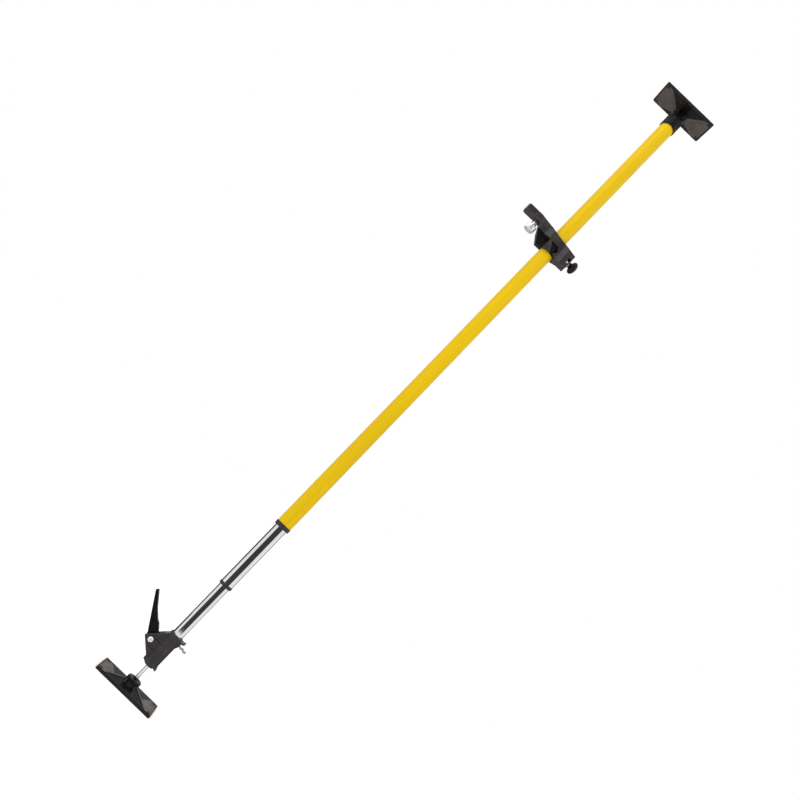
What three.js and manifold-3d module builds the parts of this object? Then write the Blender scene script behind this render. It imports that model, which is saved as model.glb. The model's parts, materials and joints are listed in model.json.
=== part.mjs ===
// Telescoping floor-to-ceiling support pole with a squeeze-lever jack.
// Millimetres. +Z runs up the pole, origin at the centre of the floor sole's bottom face.
// +X is the side of the release plate and the clamp knob, -X the side of the lever and the platform.
import * as THREE from 'three';
import { ConvexGeometry } from 'three/addons/geometries/ConvexGeometry.js';
import { mergeVertices } from 'three/addons/utils/BufferGeometryUtils.js';
import Module from 'manifold-3d';

const wasm = await Module();
wasm.setup();

// ---------------------------------------------------------------- dimensions
const DIV = 0.6;                 // fineness of the round pieces
const GAP = 0.3;                 // gap between pieces that touch
const TOTAL = 1534;              // sole to sole, sections as they stand at rest

// end pads, the same moulding at both ends
const PAD_W = 125, PAD_D = 70;   // along X, along Y
const SOLE_T = 3.2;              // rubber sole
const RIM_Z = 6.0;               // top of the plate's flat rim
const HUB_Z = 15.5;              // top of the hip-shaped back
const HIP_X = 47, HIP_Y = 34.6;  // foot of the raised back along the plate's long edges
const HIP_TOP = 13.3, HIP_TX = 14.2, HIP_TY = 6.0;   // top of the raised back
const FOOT_APEX = 32, TOP_APEX = 26;                 // where the back runs out on the plate's centre line
const HUB_R = 14.2;              // round hub
const FOOT_NOTCH = 11, TOP_NOTCH = 8;                // half width of the notch through the hub
const PAD_SCREW_X = 55.5, PAD_SCREW_Y = 28.5;

// ball joint of the floor pad
const BALL_Z = 14.5, BALL_R = 7.0, NECK_R = 3.2, NECK_Z = 24.0;
const CAP_R = 14.2, CAP_Z0 = 15.8, CAP_Z1 = 22.4;

// jack rod
const ROD_R = 3.5, ROD_Z0 = 24.3, ROD_Z1 = 251;
const STOP_R = 8.5;

// tubes
const LOW_R = 10.75, LOW_RI = 9.75, LOW_Z0 = 121.3, LOW_Z1 = 1100;
const MID_R = 12.5, MID_RI = 11.5, MID_Z0 = 239.8, MID_Z1 = 1300;
const OUT_R = 15.0, OUT_RI = 13.8, OUT_Z0 = 381.3, OUT_Z1 = 1498;

// jack housing
const PIV_X = -28.7, PIV_Z = 88.6;       // lever pivot
const SHELL_Y = 10.5, SHELL_WALL = 2.2;  // half thickness of the flat part
const BARREL_R = 13.3;                   // round part over the rod
const LEVER_H = 5.4;                     // half width of the lever

// bracket
const BR_BOT = 1105, BR_BOSS_BOT = 1107, BR_TOP = 1155, BR_RIGHT_TOP = 1138.8;
const BR_LEFT = -91.5, BR_RIGHT = 45.5;
const ARM_BOT = 1141.5, ARM_H = 11.5;    // arm of the platform: underside, half width
const LASER_X = -57.6;
const CLAMP_Z = 1123;
const BR_Y = 19.6;

const RUBBER = { color: 0x141414, roughness: 0.9, metalness: 0.0 };
const PLASTIC = { color: 0x26262a, roughness: 0.5, metalness: 0.0 };
const CHROME = { color: 0xd8dade, roughness: 0.08, metalness: 1.0 };
const STEEL = { color: 0x9a9ca0, roughness: 0.35, metalness: 1.0 };
const ZINC = { color: 0xb9bbbd, roughness: 0.3, metalness: 1.0 };
const YELLOW = { color: 0xf0c419, roughness: 0.35, metalness: 0.0 };
const NYLON = { color: 0xdcdcd4, roughness: 0.6, metalness: 0.0 };
const BLACKSTEEL = { color: 0x1c1c1e, roughness: 0.4, metalness: 0.8 };

// ---------------------------------------------------------------- helpers
function solid(geometry) {
  const g = geometry.clone();
  g.deleteAttribute('normal');
  g.deleteAttribute('uv');
  const m = mergeVertices(g, 1e-4);
  return new wasm.Manifold(new wasm.Mesh({
    numProp: 3,
    vertProperties: new Float32Array(m.attributes.position.array),
    triVerts: new Uint32Array(m.index.array),
  }));
}

function geometryOf(manifold) {
  const mesh = manifold.getMesh();
  const g = new THREE.BufferGeometry();
  const pos = new Float32Array(mesh.numVert * 3);
  for (let i = 0; i < mesh.numVert; i++) {
    for (let k = 0; k < 3; k++) pos[i * 3 + k] = mesh.vertProperties[i * mesh.numProp + k];
  }
  g.setAttribute('position', new THREE.BufferAttribute(pos, 3));
  g.setIndex(new THREE.BufferAttribute(new Uint32Array(mesh.triVerts), 1));
  g.computeVertexNormals();
  return g;
}

function union(list) {
  let r = list[0];
  for (let i = 1; i < list.length; i++) r = r.add(list[i]);
  return r;
}

// closed profile of [radius, z] pairs turned about Z
function turned(outline, segments = 40) {
  let area = 0;
  outline.forEach(([r, z], i) => {
    const [r2, z2] = outline[(i + 1) % outline.length];
    area += r * z2 - r2 * z;
  });
  const profile = area > 0 ? outline : [...outline].reverse();
  const pts = profile.map(([r, z]) => new THREE.Vector2(r, z));
  const onAxis = profile[0][0] === 0 && profile[profile.length - 1][0] === 0;
  if (!onAxis) pts.push(pts[0].clone());
  const g = new THREE.LatheGeometry(pts, Math.max(10, Math.round(segments * DIV)));
  g.applyMatrix4(new THREE.Matrix4().makeBasis(
    new THREE.Vector3(1, 0, 0), new THREE.Vector3(0, 0, 1), new THREE.Vector3(0, -1, 0)));
  return g;
}
const ring = (ri, ro, z0, z1, seg = 40) => turned([[ri, z0], [ro, z0], [ro, z1], [ri, z1]], seg);
const rod = (r, z0, z1, seg = 32) => turned([[0, z0], [r, z0], [r, z1], [0, z1]], seg);

function shapeOf(points) {
  const s = new THREE.Shape();
  points.forEach(([x, y], i) => (i ? s.lineTo(x, y) : s.moveTo(x, y)));
  s.closePath();
  return s;
}
const FLAT = { bevelEnabled: false, steps: 1 };

// outline in XY, extruded from z0 to z1
function prismZ(points, z0, z1) {
  const g = new THREE.ExtrudeGeometry(shapeOf(points), { ...FLAT, depth: z1 - z0 });
  g.translate(0, 0, z0);
  return g;
}
// outline in XZ, extruded from y0 to y1
function prismY(points, y0, y1) {
  const g = new THREE.ExtrudeGeometry(shapeOf(points), { ...FLAT, depth: y1 - y0 });
  g.applyMatrix4(new THREE.Matrix4().makeBasis(
    new THREE.Vector3(1, 0, 0), new THREE.Vector3(0, 0, 1), new THREE.Vector3(0, -1, 0)));
  g.translate(0, y1, 0);
  return g;
}
// outline in YZ, extruded from x0 to x1
function prismX(points, x0, x1) {
  const g = new THREE.ExtrudeGeometry(shapeOf(points), { ...FLAT, depth: x1 - x0 });
  g.applyMatrix4(new THREE.Matrix4().makeBasis(
    new THREE.Vector3(0, 1, 0), new THREE.Vector3(0, 0, 1), new THREE.Vector3(1, 0, 0)));
  g.translate(x0, 0, 0);
  return g;
}
function box(x0, x1, y0, y1, z0, z1) {
  const g = new THREE.BoxGeometry(x1 - x0, y1 - y0, z1 - z0);
  g.translate((x0 + x1) / 2, (y0 + y1) / 2, (z0 + z1) / 2);
  return g;
}
// turned about the X axis: profile of [radius, x]
function turnedX(profile, z, seg = 32) {
  const g = turned(profile, seg);
  g.applyMatrix4(new THREE.Matrix4().makeBasis(
    new THREE.Vector3(0, 1, 0), new THREE.Vector3(0, 0, 1), new THREE.Vector3(1, 0, 0)));
  g.translate(0, 0, z);
  return g;
}
// turned about an axis along Y through (x, z): profile of [radius, y]
function turnedY(profile, x, z, seg = 32) {
  const g = turned(profile, seg);
  g.applyMatrix4(new THREE.Matrix4().makeBasis(
    new THREE.Vector3(0, 0, 1), new THREE.Vector3(1, 0, 0), new THREE.Vector3(0, 1, 0)));
  g.translate(x, 0, z);
  return g;
}
function circle(cx, cy, r, n = 32, a0 = 0, a1 = Math.PI * 2) {
  const out = [];
  const full = Math.abs(a1 - a0 - Math.PI * 2) < 1e-9;
  for (let i = 0; i < (full ? n : n + 1); i++) {
    const a = a0 + (a1 - a0) * i / n;
    out.push([cx + r * Math.cos(a), cy + r * Math.sin(a)]);
  }
  return out;
}
function roundedRect(hx, hy, r, n = 2) {
  const out = [];
  for (const [sx, sy, a] of [[1, -1, -90], [1, 1, 0], [-1, 1, 90], [-1, -1, 180]]) {
    for (let i = 0; i <= n; i++) {
      const t = (a + 90 * i / n) * Math.PI / 180;
      out.push([sx * (hx - r) + r * Math.cos(t), sy * (hy - r) + r * Math.sin(t)]);
    }
  }
  return out;
}
function sphereProfile(r, zc, za, zb, n = 10) {
  const out = [];
  const a0 = Math.asin((za - zc) / r), a1 = Math.asin((zb - zc) / r);
  for (let i = 0; i <= n; i++) {
    const a = a0 + (a1 - a0) * i / n;
    out.push([r * Math.cos(a), zc + r * Math.sin(a)]);
  }
  return out;
}
class Helix extends THREE.Curve {
  constructor(r, z0, z1, turns) { super(); Object.assign(this, { r, z0, z1, turns }); }
  getPoint(t, target = new THREE.Vector3()) {
    const a = 2 * Math.PI * this.turns * t;
    return target.set(this.r * Math.cos(a), this.r * Math.sin(a), this.z0 + (this.z1 - this.z0) * t);
  }
}
function coil(r, wire, z0, z1, turns, perTurn = 10) {
  const s = new THREE.Shape(circle(0, 0, wire, 5).map(([x, y]) => new THREE.Vector2(x, y)));
  return new THREE.ExtrudeGeometry(s, {
    bevelEnabled: false, steps: Math.round(turns * perTurn),
    extrudePath: new Helix(r, z0 + wire, z1 - wire, turns),
  });
}

const root = new THREE.Group();
function add(name, geometry, look) {
  const g = geometry.isBufferGeometry ? geometry : geometryOf(geometry);
  const mesh = new THREE.Mesh(g, new THREE.MeshStandardMaterial(look));
  mesh.name = name;
  root.add(mesh);
  return mesh;
}

// ---------------------------------------------------------------- end pads
// One moulding, drawn with its rim down. turn = true flips it for the ceiling.
function padPlate(turn) {
  const outline = roundedRect(PAD_W / 2, PAD_D / 2, 2.5);
  const apex = turn ? TOP_APEX : FOOT_APEX, notch = turn ? TOP_NOTCH : FOOT_NOTCH;
  let p = solid(prismZ(outline, SOLE_T + GAP, RIM_Z));
  // one half of the back, in front of the centre line, grown or shrunk by d
  const half = (sy, d, low) => {
    const v = [];
    for (const sx of [-1, 1]) {
      for (const [x, y, z] of [[HIP_X + d, HIP_Y + d, RIM_Z], [apex + d, 0, RIM_Z], [HIP_TX + d, HIP_TY, HIP_TOP + d], [HIP_TX + d, 0, HIP_TOP + d]]) {
        v.push(new THREE.Vector3(sx * x, sy * y, z), new THREE.Vector3(sx * x, sy * y, low));
      }
    }
    return solid(new ConvexGeometry(v));
  };
  p = p.add(half(-1, 0, RIM_Z - 0.6)).add(half(1, 0, RIM_Z - 0.6));
  p = p.add(solid(rod(HUB_R, RIM_Z - 0.6, HUB_Z, 48)));
  // hollow underneath, left and right of the hub
  let inner = half(-1, -3.2, SOLE_T - 1).add(half(1, -3.2, SOLE_T - 1));
  inner = inner.intersect(solid(box(-80, 80, -HIP_Y + 3, HIP_Y - 3, 0, RIM_Z + 3.6)));
  inner = inner.subtract(solid(box(-HUB_R - 1, HUB_R + 1, -40, 40, 0, 40)));
  p = p.subtract(inner);
  // notch through the hub, front to back
  p = p.subtract(solid(box(-notch, notch, -40, 40, RIM_Z, 40)));
  for (const sx of [-1, 1]) for (const sy of [-1, 1]) {
    const h = solid(rod(1.9, 0, 40, 16)).translate([sx * PAD_SCREW_X, sy * PAD_SCREW_Y, 0]);
    p = p.subtract(h);
  }
  if (turn) p = p.rotate([180, 0, 0]).translate([0, 0, TOTAL]);
  return p;
}
function padSole(turn) {
  let p = solid(prismZ(roundedRect(PAD_W / 2, PAD_D / 2, 2.5), 0, SOLE_T));
  for (const sx of [-1, 1]) for (const sy of [-1, 1]) {
    p = p.subtract(solid(rod(1.9, 1.2, 10, 16)).translate([sx * PAD_SCREW_X, sy * PAD_SCREW_Y, 0]));
  }
  if (turn) p = p.rotate([180, 0, 0]).translate([0, 0, TOTAL]);
  return p;
}
function padScrew(turn, sx, sy) {
  const one = turned([[0, 1.6], [1.5, 1.6], [1.5, RIM_Z + GAP], [3.2, RIM_Z + GAP], [3.0, RIM_Z + 1.5], [1.8, RIM_Z + 2.1], [0, RIM_Z + 2.1]], 16);
  let p = solid(one).translate([sx * PAD_SCREW_X, sy * PAD_SCREW_Y, 0]);
  if (turn) p = p.rotate([180, 0, 0]).translate([0, 0, TOTAL]);
  return p;
}
const CORNERS = [[-1, -1], [1, -1], [1, 1], [-1, 1]];
add('foot_sole', padSole(false), RUBBER);
add('foot_plate', padPlate(false), PLASTIC);
CORNERS.forEach(([sx, sy], i) => add(`foot_screw_${i + 1}`, padScrew(false, sx, sy), BLACKSTEEL));

// socket cup in the notch, ball, and round cap that keeps the ball in
add('foot_socket', turned([
  [0, RIM_Z + GAP], [9.6, RIM_Z + GAP], [9.9, RIM_Z + 0.8], [9.9, CAP_Z0 - GAP],
  ...sphereProfile(BALL_R + GAP, BALL_Z, BALL_Z - BALL_R - GAP + 0.0001, CAP_Z0 - GAP, 7).reverse().slice(0, -1),
  [0, BALL_Z - BALL_R - GAP],
], 36), PLASTIC);
const TILT = 20 * Math.PI / 180;
const mouthR0 = 5.6, mouthZ0 = BALL_Z + Math.sqrt((BALL_R + GAP) ** 2 - mouthR0 ** 2);
const mouthR1 = (NECK_R + 0.5) / Math.cos(TILT) + (CAP_Z1 - BALL_Z) * Math.tan(TILT);
add('foot_cap', turned([
  [CAP_R - 0.4, CAP_Z0], [CAP_R, CAP_Z0 + 0.5], [CAP_R, CAP_Z1 - 1.2], [CAP_R - 1.2, CAP_Z1],
  [mouthR1 + 0.3, CAP_Z1],
  ...sphereProfile(BALL_R + GAP, BALL_Z, CAP_Z0, mouthZ0, 5).reverse(),
], 40), PLASTIC);
add('rod_ball', turned([
  [0, BALL_Z - BALL_R], ...sphereProfile(BALL_R, BALL_Z, BALL_Z - BALL_R + 0.0001, BALL_Z + Math.sqrt(BALL_R ** 2 - NECK_R ** 2), 9).slice(1),
  [NECK_R, NECK_Z], [2.0, NECK_Z], [2.0, 33.5], [0, 33.5],
], 32), BLACKSTEEL);

// ---------------------------------------------------------------- rod
add('jack_rod', turned([
  [0, 34.5], [2.3, 34.5], [2.3, ROD_Z0], [ROD_R - 0.4, ROD_Z0], [ROD_R, ROD_Z0 + 0.6], [ROD_R, ROD_Z1], [2.5, ROD_Z1],
  [2.5, ROD_Z1 + 5.6], [0, ROD_Z1 + 5.6],
], 32), CHROME);
add('rod_stop', turned([
  [2.8, ROD_Z1 + GAP], [STOP_R, ROD_Z1 + GAP], [STOP_R, ROD_Z1 + 4.2], [STOP_R - 1, ROD_Z1 + 5], [2.8, ROD_Z1 + 5],
], 32), STEEL);

// ---------------------------------------------------------------- jack housing
const SHELL = [
  [-11.6, 119.6], [-40.9, 90.4], [-42.2, 88.6], [-41.4, 86.9], [-15.5, 64.4], [-16.2, 59.2], [-7.2, 54.0],
  [5.6, 54.0], [7.4, 55.8], [10.6, 56.2], [13.4, 53.9], [15.6, 55.4], [12.9, 60.4], [12.9, 104.6], [15.7, 110.2],
  [15.4, 116.4], [21.2, 118.6], [22.0, 121.0], [20.6, 121.0], [17.4, 119.8], [12.9, 120.0],
];
const SHELL_IN = [
  [-11.6, 116.4], [-38.0, 90.0], [-38.6, 88.6], [-37.9, 87.0], [-12.9, 65.4], [-12.9, 60.4], [-10.6, 59.0], [-10.6, 57.2],
  [10.6, 57.2], [10.6, 105.2], [13.2, 110.4], [12.9, 114.4], [10.6, 115.8],
];
const SLOT = [[-48, 86.2], [-39.6, 85.6], [-36.5, 87.5], [-19.5, 102.4], [-19.5, 114], [-48, 114]];
const shellPosts = [[-20.6, 74.6], [-15.3, 108.6]];
function housing() {
  let p = solid(prismY(SHELL, -SHELL_Y, SHELL_Y));
  // round barrel over the rod, and the low collar round the tube
  const barrel = solid(rod(BARREL_R, 54, 120.4, 48));
  const barrelKeep = solid(prismY([[-13.3, 59.5], [-7.2, 54], [7, 54], [12.9, 59], [12.9, 120.4], [-11.6, 120.4], [-13.3, 118]], -20, 20));
  p = p.add(barrel.intersect(barrelKeep));
  p = p.add(solid(rod(BARREL_R, 119, 122.4, 48)).intersect(solid(box(-20, 12.9, -20, 20, 110, 130))));
  p = p.add(solid(rod(BARREL_R, 119, 124.4, 48)).intersect(solid(box(-20, -5.6, -20, 20, 110, 130))));
  // inside
  p = p.subtract(solid(prismY(SHELL_IN, -SHELL_Y + SHELL_WALL, SHELL_Y - SHELL_WALL)));
  p = p.subtract(solid(rod(11.05, 57.2, 115.9, 48)));
  p = p.subtract(solid(rod(9.0, 115, 119, 48)));
  p = p.subtract(solid(rod(11.05, 118.0, 130, 48)));
  // ribs on the two flat faces
  for (const s of [-1, 1]) for (const z of [97.3, 81.1]) {
    p = p.add(solid(box(-26.5, -6, s > 0 ? SHELL_Y - 0.2 : -SHELL_Y - 0.9, s > 0 ? SHELL_Y + 0.9 : -SHELL_Y + 0.2, z - 0.9, z + 0.9)));
  }
  // posts for the joining screws and for the lever screw
  for (const [x, z] of shellPosts) {
    p = p.add(solid(turnedY([[0, -9], [3.6, -9], [3.6, 9], [0, 9]], x, z, 20)).intersect(solid(prismY(SHELL, -9, 9))));
  }
  for (const s of [-1, 1]) {
    p = p.add(solid(turnedY([[0, 5.9 * s], [5.5, 5.9 * s], [5.5, 9.5 * s], [0, 9.5 * s]], PIV_X, PIV_Z, 24)));
  }
  // hole for the rod bush, slot for the lever, slot for the release plate
  p = p.subtract(solid(rod(5.3, 50, 60, 32)));
  p = p.subtract(solid(prismY(SLOT, -LEVER_H - 0.5, LEVER_H + 0.5)));
  p = p.subtract(solid(box(9, 20, -8.4, 8.4, 107.6, 116.1)));
  // lever screw and joining screws
  p = p.subtract(solid(turnedY([[0, -20], [2.8, -20], [2.8, 20], [0, 20]], PIV_X, PIV_Z, 20)));
  for (const [x, z] of shellPosts) {
    p = p.subtract(solid(turnedY([[0, -6], [1.5, -6], [1.5, 1], [2.0, 1], [2.0, 8.4], [3.4, 8.4], [3.4, 20], [0, 20]], x, z, 16)));
  }
  return p;
}
const whole = housing();
add('jack_shell_front', whole.intersect(solid(box(-60, 40, -30, -0.15, 40, 140))), PLASTIC);
add('jack_shell_rear', whole.intersect(solid(box(-60, 40, 0.15, 30, 40, 140))), PLASTIC);
shellPosts.forEach(([x, z], i) => add(`shell_screw_${i + 1}`, turnedY([
  [0, -5.6], [1.2, -5.6], [1.2, 8.7], [3.0, 8.7], [3.0, 9.9], [2.2, 10.3], [0, 10.3]], x, z, 16), ZINC));
add('rod_bush', turned([
  [3.8, 53.2], [5.0, 53.2], [5.0, 57.5], [8.2, 57.5], [8.2, 61.2], [3.8, 61.2],
], 32), NYLON);
add('tube_plug', turned([
  [3.8, 131], [3.8, 150], [8.2, 150], [9.4, 148.6], [9.4, 121.2], [10.7, 121.2], [10.7, 118.3], [7.6, 118.3], [7.6, 131],
], 36), NYLON);

// lever screw through the housing, with its nut behind
add('lever_screw', solid(turnedY([
  [0, -14.2], [2.6, -14.2], [4.6, -13.4], [5.4, -12.0], [5.4, -11.0], [5.4, -SHELL_Y - GAP], [2.5, -SHELL_Y - GAP], [2.5, 14.6], [0, 14.6],
], PIV_X, PIV_Z, 28)).subtract(union([
  solid(box(-2.6, 2.6, -15, -13.0, -0.55, 0.55)), solid(box(-0.55, 0.55, -15, -13.0, -2.6, 2.6)),
]).translate([PIV_X, 0, PIV_Z])), ZINC);
{
  const hex = circle(0, 0, 4.6, 6);
  const nut = solid(prismY(hex, SHELL_Y + GAP, SHELL_Y + GAP + 3.6)).translate([PIV_X, 0, PIV_Z])
    .subtract(solid(turnedY([[0, 0], [2.8, 0], [2.8, 20], [0, 20]], PIV_X, PIV_Z, 20)));
  add('lever_nut', nut, ZINC);
}

// lever: tapered arm, boss round the pivot, and a nose that presses the drive plate
const NOSE_L = 20, NOSE_A = 12 * Math.PI / 180, NOSE_R = 3;
const noseX = PIV_X + NOSE_L * Math.cos(NOSE_A), noseZ = PIV_Z + NOSE_L * Math.sin(NOSE_A);
{
  let l = solid(prismY([
    [-83.4, 153.2], [-80.6, 155.8], [-78.9, 156.0], [-58.8, 132.2], [-44.6, 119.0], [-37.6, 115.0], [-27.2, 103.6],
    [-24.0, 96.4], [-22.6, 89.0], [-28.7, 82.6], [-34.0, 85.9], [-41.2, 91.8],
  ], -LEVER_H, LEVER_H));
  l = l.add(solid(turnedY([[0, -LEVER_H], [6.5, -LEVER_H], [6.5, LEVER_H], [0, LEVER_H]], PIV_X, PIV_Z, 28)));
  const nx = -Math.sin(NOSE_A) * NOSE_R, nz = Math.cos(NOSE_A) * NOSE_R;
  l = l.add(solid(prismY([[PIV_X - nx, PIV_Z - nz], [-18.6, 88.9], [-12.8, 90.7], [noseX - nx * 0.3, noseZ - nz * 0.3], [noseX + nx, noseZ + nz], [PIV_X + nx * 1.8, PIV_Z + nz * 1.8]], -4.2, 4.2)));
  l = l.add(solid(turnedY([[0, -4.2], [NOSE_R, -4.2], [NOSE_R, 4.2], [0, 4.2]], noseX, noseZ, 24)));
  // channel along the back of the arm
  l = l.subtract(solid(prismY([[-77.5, 148.6], [-44.5, 99.2], [-48, 93], [-86, 150]], -LEVER_H + 2, LEVER_H - 2)));
  l = l.subtract(solid(turnedY([[0, -20], [2.8, -20], [2.8, 20], [0, 20]], PIV_X, PIV_Z, 20)));
  add('squeeze_lever', l, PLASTIC);
}

// drive plate under the nose, its spring, release plate and its spring
const PLATE_TOP = noseZ - NOSE_R - GAP;
add('drive_plate', solid(prismZ([[-13.2, -6.5], [6, -6.5], [9.4, -3], [9.4, 3], [6, 6.5], [-13.2, 6.5]], PLATE_TOP - 3, PLATE_TOP))
  .subtract(solid(rod(3.9, 0, 200, 28))), STEEL);
add('drive_spring', coil(5.6, 0.6, 61.6, PLATE_TOP - 3 - GAP, 5), STEEL);
// the plate stands tilted at rest, its outer end low, and bears on its inner end
const REL_X = -9.0, REL_Z = 113.6, REL_T = 2.0, REL_TILT = 5 * Math.PI / 180;
{
  const c = Math.cos(REL_TILT), s = Math.sin(REL_TILT);
  const at = (u, v) => [REL_X + u * c + v * s, REL_Z - u * s + v * c];
  let r = solid(prismY([at(0, -REL_T / 2), at(26, -REL_T / 2), at(29.5, -2.2), at(33, -0.4), at(36.5, -2.4), at(41.5, -1.0),
    at(41.5, 1.0), at(36.5, -0.4), at(33, 1.6), at(29.5, -0.2), at(26, REL_T / 2), at(0, REL_T / 2)], -6.5, 6.5));
  r = r.subtract(solid(rod(4.1, 80, 140, 28)));
  add('release_plate', r, STEEL);
}
add('release_spring', coil(5.7, 0.5, 114.6, 130.6, 4), STEEL);

// ---------------------------------------------------------------- tubes
add('lower_tube', ring(LOW_RI, LOW_R, LOW_Z0, LOW_Z1, 44), CHROME);
add('middle_tube', ring(MID_RI, MID_R, MID_Z0, MID_Z1, 44), CHROME);
add('outer_tube', ring(OUT_RI, OUT_R, OUT_Z0, OUT_Z1, 44), YELLOW);
add('middle_collar', turned([
  [11.1, 237.0], [12.9, 237.0], [13.5, 238.0], [13.5, 242.4], [12.8, 243.4], [12.8, MID_Z0 - GAP], [11.1, MID_Z0 - GAP],
], 44), PLASTIC);
add('outer_collar', turned([
  [12.85, 378.2], [15.3, 378.2], [15.95, 379.4], [15.95, 385.4], [15.3, 386.6], [15.3, OUT_Z0 - GAP], [12.85, OUT_Z0 - GAP],
], 44), PLASTIC);

// twist locks: a stud fixed in the end of the inner tube, and a split plug on its thread
function lockStud(rt, z) {
  return turned([
    [0, z - 30], [rt - 1.5, z - 30], [rt - GAP, z - 28.5], [rt - GAP, z + GAP], [rt + 0.9, z + GAP], [rt + 0.9, z + 3.2],
    [4.0, z + 3.2], [4.0, z + 43], [6.2, z + 43], [6.2, z + 46], [0, z + 46],
  ], 32);
}
function lockPlug(ro, z) {
  const p = solid(turned([[4.3, z + 4], [ro - 1.2, z + 4], [ro, z + 6], [ro, z + 36], [ro - 2, z + 40], [6.4, z + 42.6], [4.3, z + 42.6]], 32));
  return p.subtract(solid(box(0, 30, -0.9, 0.9, z + 8, z + 60)));
}
add('lower_lock_stud', lockStud(LOW_RI, LOW_Z1), NYLON);
add('lower_lock_plug', lockPlug(MID_RI - 0.3, LOW_Z1), NYLON);
add('middle_lock_stud', lockStud(MID_RI, MID_Z1), NYLON);
add('middle_lock_plug', lockPlug(OUT_RI - 0.3, MID_Z1), NYLON);

// ---------------------------------------------------------------- bracket
{
  // narrow part: arm of the platform and boss of the clamp screw
  const slim = solid(prismZ([[BR_LEFT + 4, -ARM_H], [-46, -ARM_H], [-24, -13], [BR_RIGHT, -12.5], [BR_RIGHT, 12.5], [-24, 13], [-46, ARM_H],
    [BR_LEFT + 4, ARM_H], [BR_LEFT + 1.2, ARM_H - 1.2], [BR_LEFT, ARM_H - 4], [BR_LEFT, -ARM_H + 4], [BR_LEFT + 1.2, -ARM_H + 1.2]], 1090, 1170));
  // wide part round the tube
  const wide = solid(prismZ([[-30, -12], [-17.5, -BR_Y], [17, -BR_Y], [30, -12], [30, 12], [17, BR_Y], [-17.5, BR_Y], [-30, 12]], 1090, 1170));
  const slimBand = solid(prismY([[BR_LEFT - 2, BR_TOP], [-52, BR_TOP], [BR_RIGHT + 1, BR_RIGHT_TOP - 0.2], [BR_RIGHT + 1, BR_BOSS_BOT], [19.5, BR_BOSS_BOT],
    [8.6, 1126], [-44, 1131.6], [-46.6, 1133.2], [-50.4, ARM_BOT], [BR_LEFT - 2, ARM_BOT]], -40, 40));
  const wideBand = solid(prismY([[-60, 1152.6], [60, 1132.8], [60, BR_BOSS_BOT], [19.5, BR_BOSS_BOT], [8.6, 1126], [-60, 1131.5]], -40, 40));
  let p = slim.intersect(slimBand).add(wide.intersect(wideBand));
  // barrel round the tube, web under the arm, ribs on the two side faces
  p = p.add(solid(rod(17.6, BR_BOT, 1132, 44)));
  p = p.add(solid(prismY([[-45.6, 1133], [-45.4, 1130.4], [-41.2, 1121.6], [-29.5, BR_BOT], [-10, BR_BOT], [-10, 1132.4]], -7, 7)));
  p = p.add(wide.intersect(solid(prismY([[-13.4, 1129], [-13.4, BR_BOT], [2.6, BR_BOT], [-9.6, 1129]], -40, 40))));
  p = p.add(wide.intersect(solid(prismY([[8.6, 1126.2], [14.2, 1116], [9.2, BR_BOSS_BOT], [22, BR_BOSS_BOT], [22, 1126]], -40, 40))));
  // bore for the tube
  p = p.subtract(solid(rod(OUT_R + 0.35, 1000, 1200, 44)));
  // pocket of the clamp shoe, hole of the clamp screw, pocket of the nut open at the front
  p = p.subtract(solid(box(0, 24.6, -8.5, 8.5, CLAMP_Z - 10.4, CLAMP_Z + 10.4)));
  p = p.subtract(solid(turnedX([[0, 20], [4.3, 20], [4.3, 60], [0, 60]], CLAMP_Z, 24)));
  p = p.subtract(solid(box(37.8, 43.6, -20, 7.8, CLAMP_Z - 6.8, CLAMP_Z + 6.8)));
  // hole of the mounting screw with a recess for its clip
  p = p.subtract(solid(rod(3.9, 1100, 1200, 28)).translate([LASER_X, 0, 0]));
  p = p.subtract(solid(rod(7.2, 1148.6, 1200, 32)).translate([LASER_X, 0, 0]));
  add('bracket_body', p, PLASTIC);
}
{
  const shoe = solid(box(13.5, 20.8, -8.1, 8.1, CLAMP_Z - 10, CLAMP_Z + 10))
    .subtract(solid(rod(OUT_R + 0.35, 1000, 1200, 44)));
  add('clamp_shoe', shoe, RUBBER);
}
add('clamp_screw', turnedX([[0, 21.1], [3.4, 21.1], [4.0, 21.8], [4.0, 57], [0, 57]], CLAMP_Z, 24), ZINC);
{
  const hex = circle(0, CLAMP_Z, 7.4, 6);
  add('clamp_nut', solid(prismX(hex, 38.2, 43.2)).subtract(solid(turnedX([[0, 30], [4.3, 30], [4.3, 50], [0, 50]], CLAMP_Z, 24))), ZINC);
}
add('clamp_washer', turnedX([[4.3, BR_RIGHT + GAP], [8.0, BR_RIGHT + GAP], [8.0, BR_RIGHT + 1.5], [4.3, BR_RIGHT + 1.5]], CLAMP_Z, 28), ZINC);
add('clamp_knob', turnedX([
  [4.3, 47.3], [6.6, 47.3], [5.0, 49.4], [8.0, 50.8], [12.2, 53.2], [13.0, 55.2], [13.0, 57.2], [11.4, 60.6], [7.4, 63.2], [2.6, 64.3], [0, 64.4],
  [0, 57.4], [4.3, 57.4],
], CLAMP_Z, 36), PLASTIC);

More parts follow.
